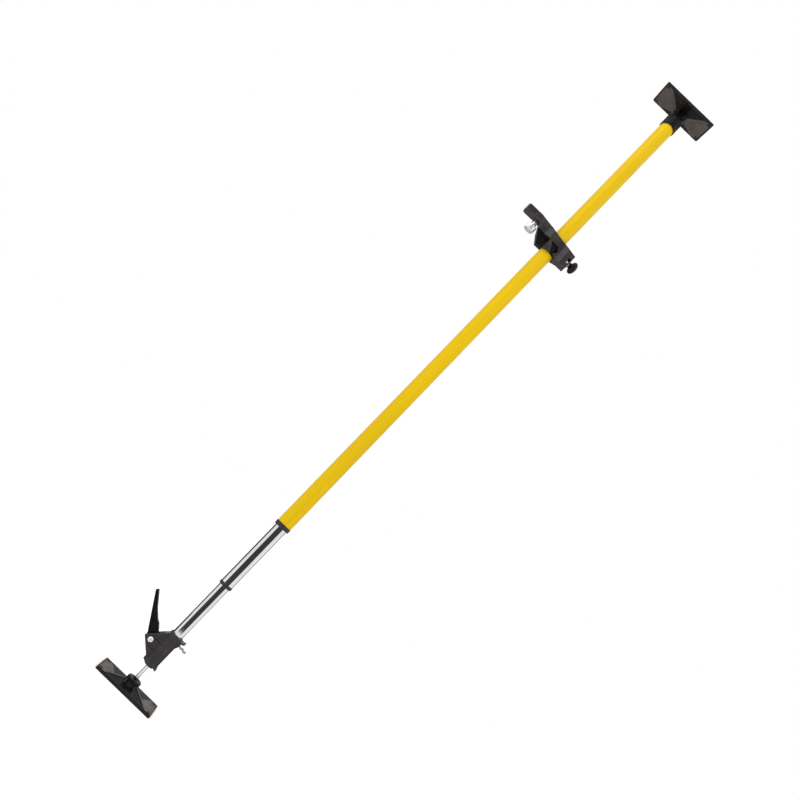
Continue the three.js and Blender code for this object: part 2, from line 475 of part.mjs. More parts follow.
// mounting screw, thumb knob and clip, with the soft pad of the platform
add('laser_screw', turned([
  [0, 1118], [2.9, 1118], [2.9, 1136.2], [3.2, 1136.2], [3.2, 1149.2], [2.4, 1149.2], [2.4, 1150.8], [3.2, 1150.8], [3.2, 1153.2], [2.6, 1154], [0, 1154],
], 24).translate(LASER_X, 0, 0), ZINC);
{
  // scalloped rim
  const star = [];
  for (let i = 0; i < 32; i++) {
    const a = 2 * Math.PI * i / 32, r = i % 2 ? 10.75 : 10.3;
    star.push([LASER_X + r * Math.cos(a), r * Math.sin(a)]);
  }
  let k = solid(prismZ(star, 1116.2, 1127.6));
  k = k.add(solid(turned([[0, 1115.6], [9.6, 1115.6], [10.2, 1116.4], [10.2, 1127.4], [9.4, 1128.4], [6.2, 1128.4], [6.2, 1135.2], [5.6, 1135.8], [0, 1135.8]], 36)).translate([LASER_X, 0, 0]));
  k = k.subtract(solid(turned([[0, 1117.6], [3.2, 1117.6], [3.2, 1140], [0, 1140]], 24)).translate([LASER_X, 0, 0]));
  add('laser_knob', k, CHROME);
}
{
  const c = solid(ring(2.7, 6.0, 1149.5, 1150.5, 28)).subtract(solid(box(0, 10, -1.6, 1.6, 1140, 1160))).translate([LASER_X, 0, 0]);
  add('laser_clip', c, STEEL);
}
{
  const outline = solid(prismZ([[-89, -8.5], [-88, -9.5], [-53.4, -9.5], [-53.4, 9.5], [-88, 9.5], [-89, 8.5]], BR_TOP + GAP, BR_TOP + 1.5));
  add('platform_pad', outline.subtract(solid(rod(7.6, 1100, 1200, 32)).translate([LASER_X, 0, 0])), RUBBER);
}

// ---------------------------------------------------------------- ceiling end
const PIN_Z = TOTAL - 11.5;
{
  let c = solid(turned([
    [OUT_R + GAP, 1477.4], [16.6, 1477.4], [17.2, 1478.2], [17.2, 1502.6], [16.4, 1504.4], [9.4, 1512.4], [0, 1512.4],
    [0, OUT_Z1 + GAP], [OUT_R + GAP, OUT_Z1 + GAP],
  ], 44));
  // arched lower edge, front and back
  c = c.subtract(solid(turnedY([[0, -30], [50, -30], [50, 30], [0, 30]], 0, 1477.4 + 2.4 - 50, 96)));
  // tongue for the hinge pin
  c = c.add(solid(prismX([[-5.4, 1511], [5.4, 1511], ...circle(0, PIN_Z, 4.9, 12, 0, Math.PI)], -TOP_NOTCH + 0.4, TOP_NOTCH - 0.4)));
  c = c.subtract(solid(turnedX([[0, -30], [2.3, -30], [2.3, 30], [0, 30]], PIN_Z, 20)));
  add('top_collar', c, PLASTIC);
}
add('top_hinge_pin', turnedX([[0, -12.6], [1.5, -12.6], [2.0, -12.1], [2.0, 12.1], [1.5, 12.6], [0, 12.6]], PIN_Z, 20), STEEL);
add('top_plate', padPlate(true).subtract(solid(turnedX([[0, -14], [2.3, -14], [2.3, 14], [0, 14]], PIN_Z, 20))), PLASTIC);
CORNERS.forEach(([sx, sy], i) => add(`top_screw_${i + 1}`, padScrew(true, sx, sy), BLACKSTEEL));
add('top_sole', padSole(true), RUBBER);

export default root;
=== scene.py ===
import json
import math
import bpy
import bmesh
from mathutils import Matrix, Vector


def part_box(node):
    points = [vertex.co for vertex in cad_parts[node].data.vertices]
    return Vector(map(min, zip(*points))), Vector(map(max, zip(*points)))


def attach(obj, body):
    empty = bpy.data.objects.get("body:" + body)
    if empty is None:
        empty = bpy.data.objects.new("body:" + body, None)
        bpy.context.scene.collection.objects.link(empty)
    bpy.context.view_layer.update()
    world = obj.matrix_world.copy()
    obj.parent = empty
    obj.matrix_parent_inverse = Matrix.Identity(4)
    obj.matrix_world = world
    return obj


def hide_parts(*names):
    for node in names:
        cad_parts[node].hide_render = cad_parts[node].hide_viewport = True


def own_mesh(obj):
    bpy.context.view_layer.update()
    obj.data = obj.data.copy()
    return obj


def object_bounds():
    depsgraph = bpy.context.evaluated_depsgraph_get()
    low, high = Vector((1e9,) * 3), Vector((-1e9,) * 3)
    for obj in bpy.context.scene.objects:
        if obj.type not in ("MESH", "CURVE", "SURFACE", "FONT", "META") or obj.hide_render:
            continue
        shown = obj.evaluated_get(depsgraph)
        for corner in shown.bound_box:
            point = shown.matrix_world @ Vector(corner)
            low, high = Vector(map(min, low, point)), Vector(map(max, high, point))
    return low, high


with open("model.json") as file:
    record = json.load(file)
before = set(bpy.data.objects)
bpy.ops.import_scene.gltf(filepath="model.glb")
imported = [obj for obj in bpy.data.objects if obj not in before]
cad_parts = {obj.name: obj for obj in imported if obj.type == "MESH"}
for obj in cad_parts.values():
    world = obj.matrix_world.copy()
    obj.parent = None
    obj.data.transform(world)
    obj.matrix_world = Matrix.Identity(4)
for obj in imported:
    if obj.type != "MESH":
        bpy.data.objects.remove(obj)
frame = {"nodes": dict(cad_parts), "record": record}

CAD_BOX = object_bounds()
NODES = frame["nodes"]
MM = 0.001

# ---------------------------------------------------------------- camera
# The pole leans to the upper right in the view; the camera stands low and looks up a little.
CAM_F = 826.66 / 800 * 36.0          # mm on a 36 mm sensor
CAM_D, CAM_H, CAM_PITCH = 1.5242, 0.44266, math.radians(9.51)
CAM_X, CAM_ROLL = -0.0064, math.radians(44.057)

cam_data = bpy.data.cameras.new("camera")
cam = bpy.data.objects.new("camera", cam_data)
bpy.context.collection.objects.link(cam)
cam_data.sensor_width = 36.0
cam_data.lens = CAM_F
cam_data.clip_start, cam_data.clip_end = 0.01, 100
fwd = Vector((0, math.cos(CAM_PITCH), math.sin(CAM_PITCH)))
up = Vector((0, -math.sin(CAM_PITCH), math.cos(CAM_PITCH)))
right = Vector((1, 0, 0))
ix = right * math.cos(CAM_ROLL) + up * math.sin(CAM_ROLL)
iy = -right * math.sin(CAM_ROLL) + up * math.cos(CAM_ROLL)
m = Matrix((ix, iy, -fwd)).transposed().to_4x4()
m.translation = Vector((CAM_X, -CAM_D, CAM_H))
cam.matrix_world = m
bpy.context.scene.camera = cam

# ---------------------------------------------------------------- which body each node rides on
BODY = {n: b for b, ns in frame["record"]["behaviour"]["bodies"].items() for n in ns}
SLOT = {s["node"]: s["material_slot"] for s in frame["record"]["subparts"]}


# ---------------------------------------------------------------- materials
class Mat:
    """A small helper round a Principled material."""

    def __init__(self, name):
        self.m = bpy.data.materials.new(name)
        self.m.use_nodes = True
        self.t = self.m.node_tree
        self.p = self.t.nodes["Principled BSDF"]
        self.co = self.t.nodes.new("ShaderNodeTexCoord").outputs["Object"]
        self.h = []

    def new(self, kind, **kw):
        n = self.t.nodes.new(kind)
        for k, v in kw.items():
            setattr(n, k, v)
        return n

    def link(self, a, b):
        self.t.links.new(a, b)

    def mapped(self, scale):
        n = self.new("ShaderNodeMapping")
        n.inputs["Scale"].default_value = scale
        self.link(self.co, n.inputs["Vector"])
        return n.outputs["Vector"]

    def noise(self, scale, detail=4, rough=0.55, stretch=(1, 1, 1)):
        n = self.new("ShaderNodeTexNoise")
        n.inputs["Scale"].default_value = scale
        n.inputs["Detail"].default_value = detail
        n.inputs["Roughness"].default_value = rough
        self.link(self.mapped(stretch), n.inputs["Vector"])
        return n.outputs["Fac"]

    def ramp(self, fac, stops):
        r = self.new("ShaderNodeValToRGB")
        el = r.color_ramp.elements
        while len(el) < len(stops):
            el.new(0.5)
        for e, (pos, col) in zip(el, stops):
            e.position = pos
            e.color = (*col, 1) if len(col) == 3 else col
        self.link(fac, r.inputs["Fac"])
        return r.outputs["Color"]

    def range(self, fac, a, b, lo, hi):
        r = self.new("ShaderNodeMapRange")
        r.inputs["From Min"].default_value, r.inputs["From Max"].default_value = a, b
        r.inputs["To Min"].default_value, r.inputs["To Max"].default_value = lo, hi
        self.link(fac, r.inputs["Value"])
        return r.outputs["Result"]

    def mix(self, fac, a, b):
        x = self.new("ShaderNodeMix", data_type="RGBA")
        for s, v in (("Factor", fac), ("A", a), ("B", b)):
            sock = [i for i in x.inputs if i.name == s and (s != "Factor" or i.type == "VALUE") and (s == "Factor" or i.type == "RGBA")][0]
            if isinstance(v, (int, float)):
                sock.default_value = v
            elif isinstance(v, tuple):
                sock.default_value = (*v, 1)
            else:
                self.link(v, sock)
        return [o for o in x.outputs if o.type == "RGBA"][0]

    def bump(self, height, strength, distance):
        b = self.new("ShaderNodeBump")
        b.inputs["Strength"].default_value = strength
        b.inputs["Distance"].default_value = distance
        self.link(height, b.inputs["Height"])
        if self.h:
            self.link(self.h[-1], b.inputs["Normal"])
        self.h.append(b.outputs["Normal"])
        self.link(b.outputs["Normal"], self.p.inputs["Normal"])

    def set(self, **kw):
        for k, v in kw.items():
            self.p.inputs[k.replace("_", " ")].default_value = v

    def color(self, c):
        self.link(c, self.p.inputs["Base Color"])

    def rough(self, r):
        self.link(r, self.p.inputs["Roughness"])


def moulded(name, dark, light, pale_dust_and_edge_highlight, r0, r1, spec, grain, grain_h, edge_wear_and_highlight=0.5):
    """Moulded black plastic or rubber: fine grain, faint flow marks, pale dust, and paler convex edges that are partly
    rubbed wear and partly painted highlight.
    """
    k = Mat(name)
    blot = k.noise(38, 5, 0.6)
    fine = k.noise(grain, 2, 0.6)
    base = k.ramp(blot, [(0.30, dark), (0.72, light)])
    dust = k.range(k.noise(420, 6, 0.72), 0.50, 0.80, 0.0, 0.26)
    base = k.mix(dust, base, pale_dust_and_edge_highlight)
    # paler convex edges from pointiness: partly rubbed wear, partly painted highlight
    geo = k.new("ShaderNodeNewGeometry")
    edge = k.range(geo.outputs["Pointiness"], 0.515, 0.60, 0.0, edge_wear_and_highlight)
    base = k.mix(edge, base, pale_dust_and_edge_highlight)
    k.color(base)
    k.rough(k.range(k.noise(120, 4, 0.6), 0.35, 0.65, r0, r1))
    k.bump(fine, grain_h, 0.0002)
    k.bump(k.noise(26, 3, 0.5), 0.18, 0.0006)
    k.p.inputs["Specular IOR Level"].default_value = spec
    k.set(IOR=1.46)
    return k.m


def metal(name, a, b, r0, r1, streak=(1, 1, 1), scratch=0.06, cloud=30, bump=0.1):
    k = Mat(name)
    base = k.ramp(k.noise(cloud, 5, 0.6), [(0.3, a), (0.7, b)])
    k.color(base)
    k.set(Metallic=1.0)
    lines = k.noise(900, 3, 0.65, streak)
    k.rough(k.range(lines, 0.3, 0.7, r0, r1))
    k.bump(lines, bump, scratch * MM)
    return k.m


M_PLASTIC = moulded("black_plastic", (0.017, 0.0145, 0.0145), (0.033, 0.0275, 0.027), (0.11, 0.095, 0.088), 0.36, 0.52, 0.45, 1900, 0.30, 0.65)
M_DARK = moulded("dark_plastic", (0.004, 0.0035, 0.0035), (0.009, 0.008, 0.0085), (0.050, 0.043, 0.040), 0.36, 0.52, 0.17, 1900, 0.30, 0.6)
M_PAD = moulded("pad_plastic", (0.0022, 0.0020, 0.0020), (0.0065, 0.0056, 0.0053), (0.15, 0.132, 0.124), 0.40, 0.56, 0.20, 1500, 0.32, 0.8)
# paler spark-textured plastic, painted light for the pad faces that face the light
M_FIELD_PAINTED_LIGHT = moulded("pad_field_painted_light", (0.052, 0.041, 0.036), (0.088, 0.070, 0.062), (0.14, 0.115, 0.10), 0.50, 0.66, 0.45, 1100, 0.45, 0.6)
M_CAST = moulded("bracket_plastic", (0.013, 0.0112, 0.0108), (0.034, 0.0285, 0.0265), (0.17, 0.145, 0.13), 0.36, 0.55, 0.45, 1500, 0.35, 0.85)
M_LEVER = moulded("lever_plastic", (0.0022, 0.0020, 0.0020), (0.0050, 0.0046, 0.0046), (0.030, 0.027, 0.026), 0.40, 0.55, 0.16, 1900, 0.3, 0.35)
M_RUBBER = moulded("black_rubber", (0.006, 0.006, 0.006), (0.013, 0.0125, 0.012), (0.045, 0.042, 0.040), 0.62, 0.82, 0.30, 1300, 0.5, 0.3)
M_NYLON = moulded("natural_nylon", (0.55, 0.54, 0.49), (0.68, 0.67, 0.62), (0.75, 0.74, 0.70), 0.38, 0.5, 0.5, 1500, 0.2, 0.2)
M_CHROME = metal("polished_chrome", (0.66, 0.665, 0.68), (0.80, 0.80, 0.81), 0.05, 0.11, (1, 1, 0.02), 0.02, 14, 0.06)
M_KNOB = metal("knob_chrome", (0.74, 0.75, 0.75), (0.88, 0.885, 0.88), 0.24, 0.36, (1, 1, 0.3), 0.03, 60, 0.08)
M_KNOB.node_tree.nodes["Principled BSDF"].inputs["Metallic"].default_value = 0.7
M_ZINC = metal("zinc_plate", (0.58, 0.585, 0.60), (0.80, 0.79, 0.76), 0.20, 0.38, (1, 1, 1), 0.05, 110, 0.15)
M_HEAD = metal("bright_screw", (0.86, 0.86, 0.86), (0.95, 0.95, 0.94), 0.34, 0.46, (1, 1, 1), 0.04, 120, 0.1)
M_HEAD.node_tree.nodes["Principled BSDF"].inputs["Metallic"].default_value = 0.45
M_STEEL = metal("plain_steel", (0.30, 0.30, 0.30), (0.44, 0.43, 0.42), 0.28, 0.45, (0.05, 1, 1), 0.06, 90, 0.2)
M_BLACKSTEEL = metal("blackened_steel", (0.055, 0.052, 0.050), (0.10, 0.095, 0.09), 0.35, 0.5, (1, 1, 1), 0.05, 140, 0.2)


def yellow_paint():
    k = Mat("yellow_paint")
    # slow colour drift along the tube, with faint darker streaks running lengthwise
    drift = k.noise(7, 4, 0.6, (1, 1, 0.35))
    base = k.ramp(drift, [(0.28, (0.60, 0.385, 0.0004)), (0.52, (0.655, 0.43, 0.0005)), (0.76, (0.71, 0.485, 0.0008))])
    lengthwise_dark = k.range(k.noise(120, 3, 0.5, (1, 1, 0.03)), 0.42, 0.66, 0.0, 0.35)
    base = k.mix(lengthwise_dark, base, (0.54, 0.32, 0.0006))
    scuff = k.range(k.noise(430, 6, 0.75, (1, 1, 0.35)), 0.66, 0.78, 0.0, 0.5)
    base = k.mix(scuff, base, (0.42, 0.27, 0.003))
    k.color(base)
    k.rough(k.range(k.noise(90, 4, 0.6), 0.35, 0.65, 0.34, 0.46))
    k.bump(k.noise(520, 2, 0.5), 0.10, 0.0002)
    k.p.inputs["Specular IOR Level"].default_value = 0.12
    return k.m


M_YELLOW = yellow_paint()
BY_SLOT = {
    "black_plastic": M_PLASTIC, "black_rubber": M_RUBBER, "yellow_paint": M_YELLOW, "chrome_tube": M_CHROME,
    "zinc": M_ZINC, "steel": M_STEEL, "black_steel": M_BLACKSTEEL, "nylon": M_NYLON, "chrome_knob": M_KNOB,
}
for n, o in NODES.items():
    o.data.materials.clear()
    # painted shade: the foot socket, deep in the notch under the cap, gets the darker plastic
    o.data.materials.append(M_DARK if n == "foot_socket" else BY_SLOT[SLOT[n]])
    for p in o.data.polygons:
        p.use_smooth = True
    o.data.set_sharp_from_angle(angle=math.radians(32))


# ---------------------------------------------------------------- solids, in millimetres
def clean(bm):
    bmesh.ops.recalc_face_normals(bm, faces=bm.faces)


def as_mesh(verts, faces):
    bm = bmesh.new()
    vs = [bm.verts.new(v) for v in verts]
    for f in faces:
        bm.faces.new([vs[i] for i in f])
    clean(bm)
    me = bpy.data.meshes.new("tmp")
    bm.to_mesh(me)
    bm.free()
    return me


class S:
    """A closed solid, with union, cut and common part."""

    def __init__(self, me):
        self.me = me

    def _op(self, others, op):
        base = bpy.data.objects.new("a", self.me)
        bpy.context.collection.objects.link(base)
        tools = []
        for o in others:
            t = bpy.data.objects.new("b", o.me)
            bpy.context.collection.objects.link(t)
            mod = base.modifiers.new("m", "BOOLEAN")
            mod.operation, mod.object, mod.solver = op, t, "MANIFOLD"
            tools.append(t)
        dg = bpy.context.evaluated_depsgraph_get()
        me = bpy.data.meshes.new_from_object(base.evaluated_get(dg))
        for x in [base, *tools]:
            bpy.data.objects.remove(x)
        if not len(me.polygons):
            raise RuntimeError("empty solid")
        return S(me)

    def add(self, *o):
        return self._op(o, "UNION")

    def cut(self, *o):
        return self._op(o, "DIFFERENCE")

    def both(self, *o):
        return self._op(o, "INTERSECT")

    def at(self, x, y, z):
        me = self.me.copy()
        me.transform(Matrix.Translation((x, y, z)))
        return S(me)

    def turn(self, deg, axis):
        me = self.me.copy()
        me.transform(Matrix.Rotation(math.radians(deg), 4, axis))
        return S(me)


def put(plane, u, v, h):
    return {"Z": (u, v, h), "Y": (u, h, v), "X": (h, u, v)}[plane]


def prism(plane, pts, a, b):
    n = len(pts)
    verts = [put(plane, u, v, a) for u, v in pts] + [put(plane, u, v, b) for u, v in pts]
    faces = [list(range(n))[::-1], list(range(n, 2 * n))] + [[i, (i + 1) % n, n + (i + 1) % n, n + i] for i in range(n)]
    return S(as_mesh(verts, faces))


def box(x0, x1, y0, y1, z0, z1):
    return prism("Z", [(x0, y0), (x1, y0), (x1, y1), (x0, y1)], z0, z1)


def soft(profile, r, steps=4):
    """Rounds the corners of a closed outline; points on the axis stay."""
    out = []
    n = len(profile)
    for i in range(n):
        p, a, b = Vector(profile[i]), Vector(profile[i - 1]), Vector(profile[(i + 1) % n])
        if p.x < 1e-6:
            out.append(tuple(p))
            continue
        u, v = a - p, b - p
        if u.length < 1e-6 or v.length < 1e-6:
            continue
        d = min(r, u.length * 0.42, v.length * 0.42)
        if u.angle(v) > math.radians(172):
            out.append(tuple(p))
            continue
        q0, q1 = p + u.normalized() * d, p + v.normalized() * d
        for k in range(steps + 1):
            t = k / steps
            out.append(tuple(q0 * (1 - t) ** 2 + p * 2 * t * (1 - t) + q1 * t * t))
    return out


def lathe(profile, seg=96, axis="Z", x=0, z=0, r=0.0, wave=None):
    """Closed (radius, height) outline turned about an axis. wave(angle, radius, height) scales the radius."""
    pts = soft(profile, r) if r else [tuple(p) for p in profile]
    verts, rows = [], []
    for rr, h in pts:
        if rr < 1e-6:
            rows.append([len(verts)] * seg)
            ring = [(0.0, 0.0)]
        else:
            rows.append(list(range(len(verts), len(verts) + seg)))
            ring = []
            for k in range(seg):
                a = 2 * math.pi * (k + 0.5) / seg
                q = rr * (wave(a, rr, h) if wave else 1.0)
                ring.append((q * math.cos(a), q * math.sin(a)))
        for c, s in ring:
            verts.append({"Z": (x + c, s, h), "X": (h, c, z + s), "Y": (x + c, h, z + s)}[axis])
    faces = []
    n = len(pts)
    for i in range(n):
        A, B = rows[i], rows[(i + 1) % n]
        if A[0] == A[-1] and B[0] == B[-1]:
            continue
        for k in range(seg):
            l = (k + 1) % seg
            f = [A[k], A[l], B[l], B[k]]
            f = [v for j, v in enumerate(f) if v not in f[:j]]
            if len(f) > 2:
                faces.append(f)
    return S(as_mesh(verts, faces))


def rod(r, a, b, seg=64, axis="Z", x=0, z=0):
    return lathe([(0, a), (r, a), (r, b), (0, b)], seg, axis, x, z)


def tube(ri, ro, a, b, seg=96):
    return lathe([(ri, a), (ro, a), (ro, b), (ri, b)], seg)


def circle(cx, cy, r, n, a0=0.0, a1=2 * math.pi, open_end=True):
    k = n if open_end else n + 1
    return [(cx + r * math.cos(a0 + (a1 - a0) * i / n), cy + r * math.sin(a0 + (a1 - a0) * i / n)) for i in range(k)]


def rounded(w, d, r, n=8):
    out = []
    for sx, sy, a in ((1, 1, 0), (-1, 1, 90), (-1, -1, 180), (1, -1, 270)):
        for i in range(n + 1):
            t = math.radians(a + 90 * i / n)
            out.append((sx * (w - r) + r * math.cos(t), sy * (d - r) + r * math.sin(t)))
    return out


def hull(points):
    bm = bmesh.new()
    vs = [bm.verts.new(p) for p in points]
    res = bmesh.ops.convex_hull(bm, input=vs)
    junk = {g for g in res["geom_interior"] + res["geom_unused"] if isinstance(g, bmesh.types.BMVert)}
    junk |= {v for v in bm.verts if not v.link_faces}
    if junk:
        bmesh.ops.delete(bm, geom=list(junk), context="VERTS")
    clean(bm)
    me = bpy.data.meshes.new("tmp")
    bm.to_mesh(me)
    bm.free()
    return S(me)


def piece(name, solid, nodes, mat, voxel=0.0, relax=3, bevel=0.0, angle=35):
    """Turns a solid in millimetres into a shown piece that stands for its CAD nodes."""
    nodes = [nodes] if isinstance(nodes, str) else list(nodes)
    ob = bpy.data.objects.new(name, solid.me.copy())
    bpy.context.collection.objects.link(ob)
    if voxel:
        a = ob.modifiers.new("r", "REMESH")
        a.mode, a.voxel_size, a.use_smooth_shade = "VOXEL", voxel, True
        b = ob.modifiers.new("s", "SMOOTH")
        b.factor, b.iterations = 0.5, relax
    if bevel:
        b = ob.modifiers.new("b", "BEVEL")
        b.width, b.segments, b.limit_method, b.angle_limit = bevel, 3, "ANGLE", math.radians(28)
        b.use_clamp_overlap = True
    if voxel or bevel:
        dg = bpy.context.evaluated_depsgraph_get()
        me = bpy.data.meshes.new_from_object(ob.evaluated_get(dg))
        ob.modifiers.clear()
        ob.data = me
    ob.data.name = name
    ob.data.transform(Matrix.Scale(MM, 4))
    ob.data.materials.clear()
    ob.data.materials.append(mat)
    for p in ob.data.polygons:
        p.use_smooth = True
    if not voxel:
        ob.data.set_sharp_from_angle(angle=math.radians(angle))
    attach(ob, BODY[nodes[0]])
    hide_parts(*nodes)
    return ob


# ---------------------------------------------------------------- dimensions shared with the frame
TOTAL = CAD_BOX[1][2] / MM
PAD_W, PAD_D, SOLE_T, RIM_Z, HUB_Z = 125, 70, 3.2, 6.0, 15.5
GAP = 0.3
HIP_X, HIP_Y, HIP_TOP, HIP_TX, HIP_TY, HUB_R = 47, 34.6, 13.3, 14.2, 6.0, 14.2
SCREWS = [(sx * 55.5, sy * 28.5) for sx in (-1, 1) for sy in (-1, 1)]


# ---------------------------------------------------------------- end pads
def bar(a, b, r, seg=16):
    """A round bar between two points."""
    a, b = Vector(a), Vector(b)
    d = b - a
    me = rod(r, 0, d.length, seg).me
    me.transform(Matrix.Translation(a) @ d.to_track_quat("Z", "Y").to_matrix().to_4x4())
    return S(me)


def pad(name, turn, node):
    apex, notch = (26, 8) if turn else (32, 11)
    p = prism("Z", rounded(PAD_W / 2, PAD_D / 2, 2.6), SOLE_T + GAP, RIM_Z)
    # the field inside the rim lies a little lower
    p = p.cut(prism("Z", rounded(PAD_W / 2 - 2.0, PAD_D / 2 - 1.6, 1.6), RIM_Z - 0.7, RIM_Z + 4))
    parts = []
    for sy in (-1, 1):
        v = []
        for sx in (-1, 1):
            for x, y, z in ((HIP_X, HIP_Y - 0.4, RIM_Z), (apex, 0, RIM_Z), (HIP_TX, HIP_TY, HIP_TOP), (HIP_TX, 0, HIP_TOP)):
                v += [(sx * x, sy * y, z), (sx * x, sy * y, RIM_Z - 1.4)]
        half = hull(v)
        # sunk panel in each long facet, which leaves a raised line along its edges
        for sx in (-1, 1):
            tri = [(sx * 41.5, sy * 31.6), (sx * 16.4, sy * 31.6), (sx * 16.4, sy * 10.6)]
            tilt = (HIP_TOP - RIM_Z) / (HIP_Y - HIP_TY)
            w = []
            for x, y in tri:
                zt = RIM_Z + (HIP_Y - abs(y)) * tilt
                w += [(x, y, zt - 0.75), (x, y, zt + 6)]
            half = half.cut(hull(w))
            # moulded lines across the sunk panel
            for k in range(5):
                y = sy * (28.6 - 3.4 * k)
                x1 = 16.4 + (41.5 - 16.4) * (abs(y) - 10.6) / 21.0 - 1.6
                zt = RIM_Z + (HIP_Y - abs(y)) * tilt
                if x1 > 19:
                    half = half.add(box(min(sx * 16, sx * x1), max(sx * 16, sx * x1), y - 0.5, y + 0.5, zt - 1.6, zt - 0.25))
        parts.append(half)
    p = p.add(*parts)
    # moulded bead along each ridge of the raised back
    for sx in (-1, 1):
        for sy in (-1, 1):
            P, Q = (sx * (HIP_X - 1.5), sy * (HIP_Y - 1.9), RIM_Z - 0.1), (sx * HIP_TX, sy * HIP_TY, HIP_TOP - 0.35)
            p = p.add(bar(P, Q, 0.85))
            p = p.add(bar((sx * 15, sy * (HIP_Y - 1.9), RIM_Z + 0.1), P, 0.7))
    p = p.add(lathe([(0, 4.6), (HUB_R, 4.6), (HUB_R, HUB_Z), (0, HUB_Z)], 96))
    p = p.cut(box(-notch, notch, -40, 40, RIM_Z, 40))
    p = p.cut(*[rod(1.9, 0, 40, 24).at(x, y, 0) for x, y in SCREWS])
    p = p.cut(*[rod(3.3, RIM_Z - 0.95, 40, 32).at(x, y, 0) for x, y in SCREWS])
    if turn:
        p = p.turn(180, "X").at(0, 0, TOTAL)
    ob = piece(name, p, node, M_PAD, voxel=0.5, relax=2)
    # painted light: the low field at each end, and the end facets of the ceiling pad, get a paler spark-textured
    # plastic where they face the light
    ob.data.materials.append(M_FIELD_PAINTED_LIGHT)
    for f in ob.data.polygons:
        c = f.center / MM
        z = TOTAL - c.z if turn else c.z
        edge = (47 - apex) / HIP_Y * abs(c.y) + apex
        ridge = HIP_TX + (HIP_X - HIP_TX) * (abs(c.y) - HIP_TY) / (HIP_Y - HIP_TY)
        # painted light: the flat low field at each end and the end facets of the ceiling pad are painted paler
        low = abs(f.normal.z) > 0.93 and RIM_Z - 1.2 < z < RIM_Z - 0.35 and abs(c.x) > edge - 0.4
        end = turn and RIM_Z - 1.2 < z < HIP_TOP and abs(c.x) > max(ridge, HUB_R) + 1.0 and abs(f.normal.x) > 1.05 * abs(f.normal.y) and abs(c.x) < 46 and abs(f.normal.z) > 0.5
        # the rim round the plate stays dark
        inside = abs(c.x) < PAD_W / 2 - 3.4 and abs(c.y) < PAD_D / 2 - 3.0
        # painted highlight: paler line along the moulded beads of the ceiling pad
        bead_highlight = False
        if turn:
            px, py, pz = HIP_X - 1.5, HIP_Y - 1.9, RIM_Z - 0.1
            qx, qy, qz = HIP_TX, HIP_TY, HIP_TOP - 0.35
            ax, ay = abs(c.x), abs(c.y)
            t = ((ax - px) * (qx - px) + (ay - py) * (qy - py)) / ((qx - px) ** 2 + (qy - py) ** 2)
            if 0.05 < t < 0.98:
                bead_highlight = math.hypot(ax - px - t * (qx - px), ay - py - t * (qy - py)) < 0.95 and abs(z - pz - t * (qz - pz)) < 1.6
        if (low and inside) or end or bead_highlight:
            f.material_index = 1
    return ob


def sole(name, turn, node):
    p = prism("Z", rounded(PAD_W / 2, PAD_D / 2, 2.6), 0, SOLE_T)
    # tread on the outer face
    cuts = [box(-59, 59, y - 0.9, y + 0.9, -1, 0.9) for y in (-27, -18, -9, 0, 9, 18, 27)]
    cuts += [box(x - 0.9, x + 0.9, -31.5, 31.5, -1, 0.9) for x in (-48, -36, -24, -12, 0, 12, 24, 36, 48)]
    p = p.cut(*cuts)
    # line round the side of the sole
    p = p.cut(prism("Z", rounded(PAD_W / 2 + 1, PAD_D / 2 + 1, 3), 1.7, 2.2).cut(prism("Z", rounded(PAD_W / 2 - 0.4, PAD_D / 2 - 0.4, 2.3), 1, 3)))
    if turn:
        p = p.turn(180, "X").at(0, 0, TOTAL)
    return piece(name, p, node, M_RUBBER, bevel=0.22)


pad("foot_plate_moulding", False, "foot_plate")
pad("top_plate_moulding", True, "top_plate")
sole("foot_sole_tread", False, "foot_sole")
sole("top_sole_tread", True, "top_sole")

for end in ("foot", "top"):
    for i in range(1, 5):
        lo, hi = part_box(f"{end}_screw_{i}")
        cx, cy = (lo.x + hi.x) / 2 / MM, (lo.y + hi.y) / 2 / MM
        z0, z1, r = lo.z / MM, hi.z / MM, (hi.x - lo.x) / 2 / MM
        # the head sits down on the low field of the plate
        if end == "foot":
            z1 -= 0.9
        else:
            z0 += 0.9
        if end == "foot":
            prof = [(0, z0), (1.5, z0), (1.5, z1 - 1.5), (r, z1 - 1.3), (r, z1 - 0.7), (r * 0.6, z1 - 0.1), (0, z1)]
            slots = [box(-2.0, 2.0, -0.38, 0.38, z1 - 0.9, z1 + 1), box(-0.38, 0.38, -2.0, 2.0, z1 - 0.9, z1 + 1)]
        else:
            prof = [(0, z1), (1.5, z1), (1.5, z0 + 1.5), (r, z0 + 1.3), (r, z0 + 0.7), (r * 0.6, z0 + 0.1), (0, z0)]
            slots = [box(-2.0, 2.0, -0.38, 0.38, z0 - 1, z0 + 0.9), box(-0.38, 0.38, -2.0, 2.0, z0 - 1, z0 + 0.9)]
        s = lathe(prof, 40, r=0.25).cut(*slots).turn(17 * i, "Z").at(cx, cy, 0)
        piece(f"{end}_pad_screw_{i}", s, f"{end}_screw_{i}", M_BLACKSTEEL)

# ---------------------------------------------------------------- ball joint and rod
lo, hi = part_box("foot_cap")
z0, z1, R = lo.z / MM, hi.z / MM, hi.x / MM
cap = lathe([(4.6, z0), (R, z0), (R, z1 - 1.4), (R - 1.3, z1), (7.2, z1), (5.4, z1 - 2.0), (4.6, z1 - 3.4)], 144, r=0.5,
            wave=lambda a, r, h: 1.0 - (0.028 * (0.5 + 0.5 * math.cos(24 * a)) ** 2 if r > R - 1 and h < z1 - 0.9 else 0.0))
piece("ball_cap", cap, "foot_cap", M_DARK, bevel=0.0, angle=40)

lo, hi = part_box("jack_rod")
z0, z1 = lo.z / MM, hi.z / MM
piece("push_rod", lathe([(0, z0), (3.5, z0), (3.5, z1), (0, z1)], 96, r=0.6), "jack_rod", M_CHROME)

